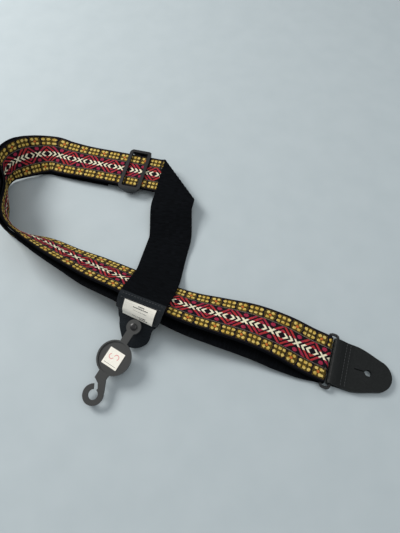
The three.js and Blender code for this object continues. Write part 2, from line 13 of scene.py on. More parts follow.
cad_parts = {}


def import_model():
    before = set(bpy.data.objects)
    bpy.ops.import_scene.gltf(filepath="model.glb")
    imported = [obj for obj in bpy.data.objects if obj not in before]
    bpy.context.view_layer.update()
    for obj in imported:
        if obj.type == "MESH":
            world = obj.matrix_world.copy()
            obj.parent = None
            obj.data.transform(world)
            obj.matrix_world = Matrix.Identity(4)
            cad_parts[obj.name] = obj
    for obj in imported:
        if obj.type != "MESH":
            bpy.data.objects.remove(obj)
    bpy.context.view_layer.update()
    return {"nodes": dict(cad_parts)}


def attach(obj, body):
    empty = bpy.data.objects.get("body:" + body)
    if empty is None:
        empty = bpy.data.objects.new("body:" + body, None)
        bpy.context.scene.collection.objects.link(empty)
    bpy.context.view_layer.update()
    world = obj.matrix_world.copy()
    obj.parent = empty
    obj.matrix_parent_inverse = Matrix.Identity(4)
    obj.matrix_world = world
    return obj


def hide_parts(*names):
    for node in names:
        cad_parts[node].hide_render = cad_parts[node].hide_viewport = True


MM = 0.001
ORIGIN = np.array([3.944, -12.757, -0.489])  # the part's origin in the drawing's millimetres

WEB_WIDTH = 50.0
WEB_HALF_THICK = 0.6
RIBBON_WIDTH = 47.6
RIBBON_LOW = 1.12  # the ribbon's faces, above the webbing's middle
RIBBON_HIGH = 1.6
YARN = 0.56  # size of one cell of the weave

RING_BAR = np.array([160.5, -136.5, 4.05])
RING_HEADING = -19.5
END_RADIUS = 2.55
STRAIGHT_FROM = np.array([-22.3, 98.9, 11.0])
STRAIGHT_HEADING = 166.31
STRAIGHT_BANK = 6.0
FOLD_RADIUS = 3.4
FOLD_HEADING = 77.5
SLIDER_AT = 26.0
LINK_MARGIN = 3.4  # a little more room between the lower layer's end and the slider
OPEN_LINK = 27.0  # how far the lower layer stops short of the slider, past that margin
TAB_OVERLAP = 46.0  # where the webbing begins, along the fixed end's route
FOLD_END_TO_STRAIGHT = 0.5


# ---------------------------------------------------------------- curves and sheets
def unit(v):
    """v at length 1, row by row."""
    v = np.asarray(v, float)
    return v / np.linalg.norm(v, axis=-1, keepdims=True)


def plan(degrees):
    """The level direction at this angle from +X."""
    return np.array([math.cos(math.radians(degrees)), math.sin(math.radians(degrees)), 0.0])


class Spline:
    """A centripetal Catmull-Rom curve through rows of three numbers, t from 0 to 1."""

    def __init__(self, rows):
        p = np.array(rows, float)
        self.p = np.vstack([2 * p[0] - p[1], p, 2 * p[-1] - p[-2]])
        self.count = len(p) - 1

    def at(self, t):
        """Points at each t."""
        x = np.clip(np.asarray(t, float), 0, 1) * self.count
        i = np.minimum(x.astype(int), self.count - 1)
        w = (x - i)[:, None]
        p0, p1, p2, p3 = (self.p[i + k] for k in range(4))
        d0, d1, d2 = (
            np.maximum(((b - a) ** 2).sum(1), 1e-12)[:, None] ** 0.25
            for a, b in ((p0, p1), (p1, p2), (p2, p3))
        )
        t1 = ((p1 - p0) / d0 - (p2 - p0) / (d0 + d1) + (p2 - p1) / d1) * d1
        t2 = ((p2 - p1) / d1 - (p3 - p1) / (d1 + d2) + (p3 - p2) / d2) * d1
        c2 = -3 * p1 + 3 * p2 - 2 * t1 - t2
        c3 = 2 * p1 - 2 * p2 + t1 + t2
        return p1 + t1 * w + c2 * w**2 + c3 * w**3


class Route:
    """A strap's middle surface along rows of x, y, z, bank, outset, drop and tilt."""

    def __init__(self, rows):
        rows = [list(row) + [0.0] * (7 - len(row)) for row in rows]
        self.path = Spline([row[:3] for row in rows])
        self.lean = Spline([[20.0 * i, row[3], 0.0] for i, row in enumerate(rows)])
        self.apart = Spline([row[4:7] for row in rows])
        self.t = np.linspace(0, 1, 12001)
        points = self.path.at(self.t)
        steps = np.linalg.norm(np.diff(points, axis=0), axis=1)
        self.s = np.concatenate([[0.0], np.cumsum(steps)])
        self.length = self.s[-1]

    def frame(self, s):
        """Middle, across and up directions, and the lower layer's place, at each s."""
        t = np.interp(s, self.s, self.t)
        a, b = (self.path.at(np.clip(t + d, 0, 1)) for d in (-1e-4, 1e-4))
        tangent = unit(b - a)
        bank = np.radians(self.lean.at(t)[:, 1])
        right = unit(np.stack([tangent[:, 1], -tangent[:, 0], 0 * bank], 1))
        across = right * np.cos(bank)[:, None]
        across[:, 2] = np.sin(bank)
        across = unit(across - tangent * (across * tangent).sum(1, keepdims=True))
        up = np.cross(across, tangent)
        beyond = np.where(s < 0, s, np.maximum(0, s - self.length))[:, None]
        return self.path.at(t) + tangent * beyond, across, up, self.apart.at(t)

    def at(self, s, t):
        """Points and ribbon sides of the band itself."""
        centre, across, up, _ = self.frame(s)
        return centre + across * t[:, None], up

    def beneath(self, s, t):
        """The same for the layer beneath, which runs the other way."""
        centre, across, up, apart = self.frame(self.length - s)
        tilt = np.radians(apart[:, 2:3])
        middle = centre + across * apart[:, :1] - up * apart[:, 1:2]
        leaning = across * np.cos(tilt) + up * np.sin(tilt)
        return middle + leaning * t[:, None], across * np.sin(tilt) - up * np.cos(tilt)


def turn(centre, heading, across, radius):
    """A half turn round a bar, from above it to below it."""
    over = np.cross(across, heading)

    def at(s, t):
        angle = (s / radius)[:, None]
        up = heading * np.sin(angle) + over * np.cos(angle)
        return centre + up * radius + across * t[:, None], up

    return at, math.pi * radius


top_heading = plan(STRAIGHT_HEADING)
bank = math.radians(STRAIGHT_BANK)
top_across = np.array([top_heading[1], -top_heading[0], 0.0]) * math.cos(bank)
top_across[2] = math.sin(bank)
top_up = np.cross(top_across, top_heading)


def on_top(distance):
    """A point on the middle of the straight stretch."""
    return STRAIGHT_FROM + top_heading * distance


fold_heading = plan(FOLD_HEADING)
fold_heading = unit(fold_heading - top_up * fold_heading.dot(top_up))
crease = unit(fold_heading + top_heading)
outward = unit(np.cross(crease, top_up))
fold_across = unit(np.cross(fold_heading, top_up))
along_out = fold_heading.dot(outward)
along_crease = fold_heading.dot(crease)
half_roll = math.pi * FOLD_RADIUS
roll_end = half_roll / along_out
edge_lag = WEB_WIDTH / 2 * fold_across.dot(outward) / along_out
FOLD_BEFORE = edge_lag + 2
FOLD_AFTER = roll_end + edge_lag + 1


def fold_from(origin, s, t):
    """The fold's surface for a crease that crosses the band's middle at origin."""
    u = s * along_out + t * fold_across.dot(outward)
    v = s * along_crease + t * fold_across.dot(crease)
    angle = np.clip(u, 0, half_roll) / FOLD_RADIUS
    rolled = FOLD_RADIUS * np.sin(angle)
    reach = np.where(u < 0, u, np.where(u > half_roll, half_roll - u, rolled))
    point = (
        origin
        + v[:, None] * crease
        + reach[:, None] * outward
        + (FOLD_RADIUS * (1 + np.cos(angle)))[:, None] * top_up
    )
    up = -np.cos(angle)[:, None] * top_up - np.sin(angle)[:, None] * outward
    return point, up


ONE = np.array([0.0])
fold_origin = on_top(FOLD_END_TO_STRAIGHT) - fold_from(np.zeros(3), ONE + FOLD_AFTER, ONE)[0][0]


def fold_sheet(s, t):
    """The fold's surface, s from where its sheet begins."""
    return fold_from(fold_origin, s - FOLD_BEFORE, t)


entry = fold_sheet(ONE, ONE)[0][0]
before_entry = fold_sheet(ONE - 10, ONE)[0][0]
entry_bank = math.degrees(math.asin(fold_across[2]))
fold_exit = fold_sheet(ONE + FOLD_BEFORE + FOLD_AFTER, ONE)[0][0]

END_ROWS = [
    (-28.5, -126, 6.2, 0), (-29.8, -115, 9.6, 0), (-29.6, -106, 12.8, 0),
    (-28.2, -101, 16.6, -1.5), (-26.6, -97.4, 28.4, -3.5), (-23, -89.5, 36, -6),
    (-19.8, -80, 33.6, -9.5), (-16.2, -69, 25.6, -14), (-13, -57, 18, -15),
    (-10.8, -46, 10.8, -12), (-9, -34, 6, -8), (-6.6, -20, 3.6, -3), (-3.6, -6, 2.6, 0),
    (-0.2, 9, 3.6, 1.5), (*before_entry, entry_bank), (*entry, entry_bank),
]
UPPER_ROWS = [
    (*fold_exit, STRAIGHT_BANK, 0, 6.6, 0),
    *[(*on_top(d), STRAIGHT_BANK, 0, 6.6, 0) for d in (5, 19, 34, 50, 68, 90)],
    (-125.5, 124, 11, 9, 0, 6.2, -1), (-142, 128.5, 11.5, 13, -0.5, 5.6, -2),
    (-157, 132, 13.5, 20, -1, 5.3, -2), (-174, 127, 18, 37, 0, 5, -1),
    (-188, 116, 24.5, 60, 0, 4.8, 0), (-200, 102, 28.6, 82, -1.3, 5, 1),
    (-205, 86, 28.5, 98, -3, 4.6, 1), (-199, 68, 28, 106, -3, 4, 0),
    (-193, 50, 27.9, 107, -3, 4, 0), (-190, 29, 27.5, 103, -2.5, 4.4, 0),
    (-179, 10.5, 27.6, 86, -1, 4.6, 0), (-167.5, 1.5, 27, 72, 0.5, 4.2, 1),
    (-152, -5, 25.4, 58, 1.5, 4, 2), (-134.7, -12.6, 23.2, 50, 1, 4.2, 0),
    (-107.7, -26.6, 21.7, 44, 0, 5.5, -3), (-78.7, -39.6, 19, 36, 2.4, 7, -4),
    (-45.5, -54.5, 18.4, 34, 3.5, 7.4, -3.6), (2.9, -77.5, 17.2, 30, 3.6, 7.6, -4),
    (28, -86.5, 15.4, 25, 5, 8.2, -4.6), (55.7, -94, 14.6, 18, 6.3, 9.2, -3.4),
    (89.8, -104, 14.6, 10, 7.5, 10.6, -1.2), (119.8, -116.5, 12.6, 5, 7.6, 9.8, -0.6),
    (142, -128, 9, 2, 4.6, 7, 0), (160.5, -136.5, 6.6, 0, 0, 5.1, 0),
]

end_route = Route(END_ROWS)
upper_route = Route(UPPER_ROWS)
ring_heading = plan(RING_HEADING)
ring_across = np.array([ring_heading[1], -ring_heading[0], 0.0])
ring_turn, RING_LENGTH = turn(RING_BAR, ring_heading, ring_across, END_RADIUS)


def face_down(s, t):
    """The fixed end's surface, whose ribbon faces the table."""
    point, up = end_route.at(s, t)
    return point, -up


def turned_over(sheet):
    """The fold turns the band over, so past it the band's right edge is its left."""
    return lambda s, t: sheet(s, -t)


SHEETS = [
    (end_route.length, face_down),
    (FOLD_BEFORE + FOLD_AFTER, fold_sheet),
    (upper_route.length, turned_over(upper_route.at)),
    (RING_LENGTH, turned_over(ring_turn)),
    (upper_route.length, turned_over(upper_route.beneath)),
]
STARTS = np.concatenate([[0.0], np.cumsum([length for length, _ in SHEETS])])
UPPER_START, RING_START, LOWER_START = STARTS[2:5]
SLIDER_SPOT = UPPER_START + LINK_MARGIN + SLIDER_AT
LOWER_END = LOWER_START + (RING_START - SLIDER_SPOT) - OPEN_LINK


def strap(s, t):
    """The strap's middle surface: points and ribbon sides, in the drawing's millimetres."""
    s, t = np.broadcast_arrays(np.asarray(s, float), np.asarray(t, float))
    flat_s, flat_t = s.ravel(), t.ravel()
    points, ups = np.zeros((flat_s.size, 3)), np.zeros((flat_s.size, 3))
    which = np.clip(np.searchsorted(STARTS, flat_s, side="right") - 1, 0, len(SHEETS) - 1)
    for i, (_, sheet) in enumerate(SHEETS):
        here = which == i
        if here.any():
            points[here], ups[here] = sheet(flat_s[here] - STARTS[i], flat_t[here])
    return points.reshape(*s.shape, 3), ups.reshape(*s.shape, 3)


def placed(points):
    """Drawing millimetres as metres in the part's frame."""
    return (np.asarray(points, float) - ORIGIN) * MM


# ---------------------------------------------------------------- materials
def shader(name, color, roughness, specular=0.5, sheen=0.0):
    """A plain material and its main shader node."""
    material = bpy.data.materials.new(name)
    material.use_nodes = True
    node = material.node_tree.nodes["Principled BSDF"]
    node.inputs["Base Color"].default_value = (*color, 1)
    node.inputs["Roughness"].default_value = roughness
    node.inputs["Specular IOR Level"].default_value = specular
    node.inputs["Sheen Weight"].default_value = sheen
    return material, node


def grain(material, node, scale, strength, distance, kind="ShaderNodeTexNoise"):
    """Adds a bump from a noise or Voronoi texture to a material."""
    nodes, links = material.node_tree.nodes, material.node_tree.links
    texture = nodes.new(kind)
    texture.inputs["Scale"].default_value = scale
    coordinates = nodes.new("ShaderNodeTexCoord")
    links.new(coordinates.outputs["Object"], texture.inputs["Vector"])
    bump = nodes.new("ShaderNodeBump")
    bump.inputs["Strength"].default_value = strength
    bump.inputs["Distance"].default_value = distance
    out = "Distance" if kind == "ShaderNodeTexVoronoi" else "Fac"
    links.new(texture.outputs[out], bump.inputs["Height"])
    links.new(bump.outputs["Normal"], node.inputs["Normal"])
    return texture


def mottled(material, node, texture, dark, light):
    """Colours a material between dark and light by a texture's value."""
    nodes, links = material.node_tree.nodes, material.node_tree.links
    ramp = nodes.new("ShaderNodeValToRGB")
    ramp.color_ramp.elements[0].color = (*dark, 1)
    ramp.color_ramp.elements[1].color = (*light, 1)
    ramp.color_ramp.elements[0].position = 0.3
    ramp.color_ramp.elements[1].position = 0.7
    out = texture.outputs["Fac"] if "Fac" in texture.outputs else texture.outputs["Distance"]
    links.new(out, ramp.inputs["Fac"])
    links.new(ramp.outputs["Color"], node.inputs["Base Color"])


def woven_material(name, roughness, specular):
    """Cloth coloured by the mesh's own colours, cell by cell."""
    material, node = shader(name, (0.1, 0.1, 0.1), roughness, specular)
    nodes, links = material.node_tree.nodes, material.node_tree.links
    colour = nodes.new("ShaderNodeVertexColor")
    colour.layer_name = "Weave"
    links.new(colour.outputs["Color"], node.inputs["Base Color"])
    return material


def leather():
    """Black leather with a fine pebble grain."""
    material, node = shader("leather", (0.006, 0.007, 0.007), 0.46, 0.17)
    texture = grain(material, node, 900, 0.35, 0.0006, "ShaderNodeTexVoronoi")
    mottled(material, node, texture, (0.005, 0.0062, 0.0062), (0.009, 0.0105, 0.0105))
    return material


def suede():
    """The dark napped backing of the fixed tab."""
    material, node = shader("suede", (0.01, 0.013, 0.016), 0.95, 0.05, 0.15)
    texture = grain(material, node, 1400, 0.6, 0.0005)
    mottled(material, node, texture, (0.006, 0.008, 0.01), (0.02, 0.024, 0.028))
    return material


def moulded(name, color, roughness, specular, scale, strength, distance):
    """Moulded plastic with a slight surface grain."""
    material, node = shader(name, color, roughness, specular)
    grain(material, node, scale, strength, distance)
    return material


def paper():
    """Cream label stock."""
    material, node = shader("paper", (0.86, 0.83, 0.74), 0.6)
    texture = grain(material, node, 500, 0.08, 0.0003)
    mottled(material, node, texture, (0.84, 0.81, 0.72), (0.9, 0.87, 0.78))
    return material


def table_top():
    """The pale grey-blue table."""
    material, node = shader("table", (0.44, 0.5, 0.525), 0.75)
    texture = grain(material, node, 30, 0.05, 0.001)
    mottled(material, node, texture, (0.43, 0.49, 0.515), (0.45, 0.51, 0.535))
    return material


def make_materials():
    """Every material of the scene, by name."""
    return {
        "weave": woven_material("weave", 0.8, 0.07),
        "webbing": woven_material("webbing", 0.9, 0.04),
        "leather": leather(),
        "suede": suede(),
        "thread": shader("thread", (0.05, 0.052, 0.055), 0.6, 0.3)[0],
        "plastic": moulded("black_plastic", (0.009, 0.009, 0.01), 0.32, 0.4, 300, 0.06, 0.0003),
        "grey": moulded("grey_plastic", (0.04, 0.041, 0.04), 0.42, 0.35, 260, 0.1, 0.0004),
        "paper": paper(),
        "ink": shader("ink", (0.03, 0.03, 0.03), 0.7)[0],
        "pink_ink": shader("pink_ink", (0.72, 0.24, 0.24), 0.7)[0],
        "table": table_top(),
    }


# ---------------------------------------------------------------- meshes
def mesh_object(name, vertices, faces, material, smooth=True):
    """A mesh object from vertices in metres."""
    mesh = bpy.data.meshes.new(name)
    mesh.from_pydata([tuple(v) for v in vertices], [], faces)
    mesh.materials.append(material)
    mesh.polygons.foreach_set("use_smooth", [smooth] * len(mesh.polygons))
    mesh.update()
    piece = bpy.data.objects.new(name, mesh)
    bpy.context.scene.collection.objects.link(piece)
    return piece


def grid_faces(rows, columns, closed=False):
    """Quads of a grid of rows by columns of vertices, closed round the columns if asked."""
    last = columns if closed else columns - 1
    i, j = np.meshgrid(np.arange(rows - 1), np.arange(last), indexing="ij")
    k = (j + 1) % columns
    here, there = i * columns, (i + 1) * columns
    return np.stack([here + j, here + k, there + k, there + j], -1).reshape(-1, 4)


def colour_cells(piece, colours):
    """Gives each face of a piece one colour."""
    layer = piece.data.color_attributes.new("Weave", "FLOAT_COLOR", "CORNER")
    cells = np.concatenate([colours, np.ones((len(colours), 1))], 1)
    loops = np.zeros(len(piece.data.polygons), int)
    piece.data.polygons.foreach_get("loop_total", loops)
    layer.data.foreach_set("color", np.repeat(cells, loops, axis=0).ravel())


# ---------------------------------------------------------------- the ribbon's pattern
BLACK = np.array([0.008, 0.007, 0.01])
OLIVE = np.array([0.05, 0.034, 0.008])
BRONZE = np.array([0.13, 0.085, 0.018])
GOLD = np.array([0.56, 0.37, 0.07])
STRAW = np.array([0.68, 0.51, 0.15])
CREAM = np.array([0.86, 0.8, 0.58])
RED = np.array([0.4, 0.034, 0.036])
CRIMSON = np.array([0.32, 0.024, 0.06])
ORANGE = np.array([0.5, 0.14, 0.03])
PALE = np.array([0.3, 0.26, 0.22])

# The centre band. Distances along the strap (d) and from its middle (a) are in millimetres.
CELL_LONG = 33.6  # large diamond cell, along the strap
CELL_SHORT = 22.4
CHEVRON = 5.6  # from one chevron's tip to the next
CHEVRON_SLOPE = 0.95  # how far out its arms go for each millimetre along
CREAM_EDGE = 3.2  # the chevrons are cream inside this and red outside
CREAM_HALF, RED_HALF = 1.3, 1.5  # half widths of their arms
BLOB_AT, BLOB_RADIUS, BLOB_STRETCH = 7.3, 2.1, 0.85
DIAMOND_REACH, DIAMOND_SLOPE = 3.2, 0.8
RED_SHARE = 0.35  # yarns above this noise are red, and the rest crimson

# The bands of gold dots on both sides of it.
GROUP = 28.0  # a group of three pairs of dots and a group of two
DOT_PITCH = 4.9
DOT_RADIUS = 1.75
DOT_APART = 2.7  # half the distance between the two rows of dots
DOT_SHIFT = 3.0  # how far each band is shifted along, opposite ways
BAND_MIDDLE = 16.7
MARK_REACH = 1.9  # the orange diamond inside a group of two
LATTICE_PITCH, LATTICE_HALF, LATTICE_SLOPE = 3.2, 0.55, 1.3
GAP_HALF, GAP_SLOPE = 0.5, 0.3
STRAW_SHARE = 0.45

CENTRE_EDGE = 10.0
BORDER_EDGE = 11.2
SELVEDGE = 22.4
NOISE_CELLS = 4  # yarn cells that share one shade of dye
TWILL_STEPS = 3


def centre_band(s, a, noise):
    """Colour of the chevrons and crosses, and where they float on top."""
    x = np.mod(s, CELL_LONG + CELL_SHORT)
    long_cell = x < CELL_LONG
    half = np.where(long_cell, CELL_LONG, CELL_SHORT) / 2
    d = np.abs(np.where(long_cell, x, x - CELL_LONG) - half)
    arm = d - a / CHEVRON_SLOPE
    q = np.mod(arm + CHEVRON / 2, CHEVRON) - CHEVRON / 2
    stripe = (np.abs(q) < np.where(a < CREAM_EDGE, CREAM_HALF, RED_HALF)) & (arm > -CHEVRON / 2)
    blob = np.hypot(d * BLOB_STRETCH, a - BLOB_AT) < BLOB_RADIUS
    crossing = (d < CREAM_HALF) & (a < CREAM_HALF)
    diamond = d > half - np.clip(DIAMOND_REACH - a, 0, 3) * DIAMOND_SLOPE
    colour = np.where(noise[..., None] > RED_SHARE, RED, CRIMSON)
    colour = np.where((a < CREAM_EDGE)[..., None], CREAM, colour)
    colour = np.where(blob[..., None], CRIMSON, colour)
    shown = ((stripe | crossing) & ~diamond) | blob
    return np.where(shown[..., None], colour, BLACK), shown


def dot_band(s, a, noise):
    """Colour of the gold dots, in groups of three and two pairs, and where they float on top."""
    x = np.mod(s, GROUP)
    in_three = (x < GROUP / 4) | (x > 3 * GROUP / 4)
    local = np.where(in_three, np.where(x > GROUP / 2, x - GROUP, x), x - GROUP / 2)
    offset = np.where(in_three, 0.0, DOT_PITCH / 2)
    step = np.round((local - offset) / DOT_PITCH)
    step = np.where(in_three, np.clip(step, -1, 1), np.clip(step, -1, 0))
    dx = local - offset - step * DOT_PITCH
    across = np.abs(a - BAND_MIDDLE)
    dot = np.hypot(dx, (across - DOT_APART) * 1.05) < DOT_RADIUS
    line = np.mod(np.abs(local) + across * LATTICE_SLOPE, LATTICE_PITCH) - LATTICE_PITCH / 2
    lattice = np.abs(line) < LATTICE_HALF
    mark = ~in_three & (np.abs(local) + across < MARK_REACH)
    gap = np.abs(np.abs(local) - GROUP / 4) < GAP_HALF + across * GAP_SLOPE
    colour = np.where(lattice[..., None], BRONZE, OLIVE)
    colour = np.where(gap[..., None], BLACK, colour)
    colour = np.where(mark[..., None], ORANGE, colour)
    gold = np.where(noise[..., None] > STRAW_SHARE, STRAW, GOLD)
    return np.where(dot[..., None], gold, colour), dot | mark


def ribbon_pattern(s, t):
    """Colour of each yarn cell, and whether its yarn floats on top."""
    rng = np.random.default_rng(11)
    a = np.abs(t)
    dye = rng.random((s.shape[0] // NOISE_CELLS + 1, s.shape[1] // NOISE_CELLS + 1))
    noise = np.repeat(np.repeat(dye, NOISE_CELLS, 0), NOISE_CELLS, 1)[: s.shape[0], : s.shape[1]]
    centre, centre_up = centre_band(s, a, noise)
    dots, dots_up = dot_band(s + DOT_SHIFT * np.sign(t), a, noise)
    on_dots = (a > BORDER_EDGE) & (a < SELVEDGE)
    pale = (np.mod(s, 2 * YARN) < YARN) & (a > CENTRE_EDGE + 0.1) & (a < BORDER_EDGE - 0.3)
    border = np.where(pale[..., None], PALE, BLACK)
    colour = np.where((a < CENTRE_EDGE)[..., None], centre, border)
    colour = np.where(on_dots[..., None], dots, colour)
    colour = np.where((a >= SELVEDGE)[..., None], BLACK, colour)
    raised = np.where(a < CENTRE_EDGE, centre_up, on_dots & dots_up)
    shade = 0.78 + 0.4 * rng.random(s.shape)
    twill = 1 - 0.22 * (np.mod(np.round(s / YARN) + np.round(t / YARN), TWILL_STEPS) == 0)
    return colour * (shade * twill)[..., None], raised


FLOAT_LIFT = 0.24  # how far a floating yarn stands over the ground weave


def yarn_grid(start, end):
    """Where the corners of the ribbon's yarn cells lie: s along it and t across it."""
    rows = int((end - start) / YARN) + 1
    columns = int(RIBBON_WIDTH / YARN) + 1
    s = np.linspace(start, end, rows)[:, None] + np.zeros(columns)
    t = np.linspace(-RIBBON_WIDTH / 2, RIBBON_WIDTH / 2, columns) + np.zeros((rows, 1))
    return s, t


def woven_ribbon(name, start, end, material):
    """One length of the ribbon as a skin of yarn cells, s from start to end."""
    s, t = yarn_grid(start, end)
    rows, columns = s.shape
    cell_s, cell_t = (s[:-1, :-1] + s[1:, 1:]) / 2, (t[:-1, :-1] + t[1:, 1:]) / 2
    colour, raised = ribbon_pattern(cell_s, cell_t)
    height = np.full(s.shape, RIBBON_HIGH - 0.12)
    lift = FLOAT_LIFT * raised
    for di in (0, 1):
        for dj in (0, 1):
            height[di : rows - 1 + di, dj : columns - 1 + dj] += lift / 4
    height[:, [0, -1]] = RIBBON_HIGH - 0.3
    rim_s = np.concatenate([s[:, :1], s, s[:, -1:]], 1)
    rim_t = np.concatenate([t[:, :1], t, t[:, -1:]], 1)
    low = np.full((rows, 1), RIBBON_LOW)
    height = np.concatenate([low, height, low], 1)
    point, up = strap(rim_s, rim_t)
    vertices = placed(point + up * height[..., None]).reshape(-1, 3)
    piece = mesh_object(name, vertices, grid_faces(rows, columns + 2).tolist(), material)
    rim = np.broadcast_to(BLACK, (rows - 1, 1, 3))
    colour_cells(piece, np.concatenate([rim, colour, rim], 1).reshape(-1, 3))
    return piece


WEB_STEP = 1.6  # the webbing's weft ribs, along the strap
WEB_RIB = 0.09  # how deep the furrows between them are
WEB_LINES = 12
WEB_FLAT = 0.94  # the share of the half width that is flat
WEB_SHOULDER = (0.985, 0.75)
WEB_BLACK = np.array([0.0026, 0.0031, 0.004])


def web_profile():
    """The webbing's section as (share across, height), with points along its flat faces."""
    across = np.linspace(-WEB_FLAT, WEB_FLAT, WEB_LINES)
    x, z = WEB_SHOULDER
    top = [(-1, 0), (-x, z), *((place, 1.0) for place in across), (x, z)]
    bottom = [(1, 0), (x, -z), *((place, -1.0) for place in across[::-1]), (-x, -z)]
    return np.array(top + bottom)


def woven_webbing(name, sheet, start, end, material):
    """Webbing over a sheet: a rounded section with ribs across it."""
    profile = web_profile()
    rows = int((end - start) / WEB_STEP * 2) + 1
    s = np.linspace(start, end, rows)[:, None] + 0 * profile[:, 0]
    t = profile[:, 0] * WEB_WIDTH / 2 + 0 * s
    rib = WEB_RIB * (np.arange(rows) % 2)[:, None]
    height = profile[:, 1] * (WEB_HALF_THICK - rib)
    point, up = sheet(s, t)
    vertices = placed(point + up * height[..., None]).reshape(-1, 3)
    faces = grid_faces(rows, len(profile), closed=True).tolist()
    count = len(profile)
    faces.append(list(range(count)))
    faces.append([(rows - 1) * count + i for i in reversed(range(count))])
    piece = mesh_object(name, vertices, faces, material, False)
    rng = np.random.default_rng(5)
    colours = WEB_BLACK * (0.7 + 0.9 * rng.random((len(faces), 1)))
    colour_cells(piece, colours)
    return piece


# ---------------------------------------------------------------- the sewn end in the slider
SEWN_TOP = 30.0  # length of the top ply, from the slider's middle
SEWN_UNDER = 3.0  # and of the lower ply
SEWN_CENTRE = 3.6  # height of the centre bar in the slider's frame
SEWN_LOOP = 2.1  # radius of the turn round it
SEWN_TURN_X = -1.3
SLIDER_REF = 8.1  # from the slider frame's zero up to the strap's middle
slider_origin = on_top(SLIDER_AT) - top_up * SLIDER_REF
sewn_turn, SEWN_TURN_LENGTH = turn(
    np.zeros(3), np.array([1.0, 0, 0]), np.array([0, -1.0, 0]), SEWN_LOOP
)
SEWN_FLAT = SEWN_TOP - SEWN_TURN_X
SEWN_LENGTH = SEWN_FLAT + SEWN_TURN_LENGTH + SEWN_UNDER - SEWN_TURN_X


def sewn_sheet(s, t):
    """The sewn end: its top ply, its turn round the centre bar and its short lower ply."""
    shape = s.shape
    s, t = s.ravel(), t.ravel()
    past = s - SEWN_FLAT - SEWN_TURN_LENGTH
    x = np.where(past > 0, SEWN_TURN_X + past, SEWN_TOP - s)
    z = SEWN_CENTRE + np.where(past > 0, -SEWN_LOOP, SEWN_LOOP)
    local = np.stack([x, -t, z], 1)
    up = np.stack([0 * x, 0 * x, np.where(past > 0, -1.0, 1.0)], 1)
    turning = (s > SEWN_FLAT) & (past <= 0)
    point, out = sewn_turn(s - SEWN_FLAT, t)
    flip = np.array([-1.0, 1, 1])
    local[turning] = (point * flip + [SEWN_TURN_X, 0, SEWN_CENTRE])[turning]
    up[turning] = (out * flip)[turning]
    axes = np.stack([top_heading, -top_across, top_up])
    return (slider_origin + local @ axes).reshape(*shape, 3), (up @ axes).reshape(*shape, 3)


def sewn_ribbon(name, material):
    """The pattern on the sewn end."""
    s, t = yarn_grid(0, SEWN_LENGTH)
    colour, _ = ribbon_pattern(s[1:, 1:], t[1:, 1:])
    point, up = sewn_sheet(s, t)
    vertices = placed(point + up * (RIBBON_HIGH - 0.1)).reshape(-1, 3)
    piece = mesh_object(name, vertices, grid_faces(*s.shape).tolist(), material)
    colour_cells(piece, colour.reshape(-1, 3))
    return piece


# ---------------------------------------------------------------- small pieces
HANGER_AT = np.array([-31.0, -109.2, 21.2])
HANGER_TOWARD = unit(np.array([-0.52, -0.84, 0.0]))
HANGER_FALL = math.radians(10.5)
hanger_x = HANGER_TOWARD * math.cos(HANGER_FALL) - np.array([0, 0, math.sin(HANGER_FALL)])
hanger_y = unit(np.cross([0, 0, 1.0], hanger_x))
hanger_z = np.cross(hanger_x, hanger_y)
STICKER_MIDDLE = 36.0
STICKER_TOP = 0.52
STICKER_ARCS = ((-2.2, 2.4, 40), (-1.2, -2.8, 210))  # middle, from the sticker's, and start angle
ARC_INNER, ARC_OUTER, ARC_SWEEP, ARC_STEPS = 2.1, 2.8, 230, 18
RULE_AT, RULE_WIDTH, RULE_HALF = 42.2, 0.3, 7
LABEL_TOP = 2.68
BARS_FROM, BARS_TO = 37.5, 43.5  # the bars run between these, along the tab
BARS_ACROSS = (-5.0, 9)
DASH_ROWS = ((46, -6, 9), (47.8, -1, 5), (36, 3, 11))  # place along the tab, and the ends across
DASH_THICK = 0.8


def on_hanger(x, y, z):
    """A point in the hanger's own frame: along it, across it and off it."""
    return placed(HANGER_AT + hanger_x * x + hanger_y * y + hanger_z * z)


def on_label(s, t):
    """A point just over the paper label's face."""
    point, up = end_route.at(np.array([float(s)]), np.array([float(t)]))
    return placed(point + up * LABEL_TOP)[0]


def label_mark(start, end, t, width):
    """The corners of one mark on the label."""
    ends = ((start, t), (start, t + width), (end, t + width), (end, t))
    return [on_label(*place) for place in ends]


def bars(name, corners, material):
    """Flat four-cornered marks as one piece."""
    vertices = [v for corner in corners for v in corner]
    faces = [tuple(range(4 * i, 4 * i + 4)) for i in range(len(corners))]
    return mesh_object(name, vertices, faces, material, False)


def label_marks(material):
    """Plain bars and dashes that stand for the label's print."""
    rng = random.Random(4)
    corners = []
    t, last = BARS_ACROSS
    while t < last:
        width = rng.choice((0.5, 0.5, 0.95))
        corners.append(label_mark(BARS_FROM, BARS_TO, t, width))
        t += width + rng.choice((0.4, 0.65))
    for s, t, last in DASH_ROWS:
        while t < last:
            length = rng.uniform(0.9, 2)
            corners.append(label_mark(s, s + DASH_THICK, t, length))
            t += length + 0.5
    return bars("label_marks", corners, material)


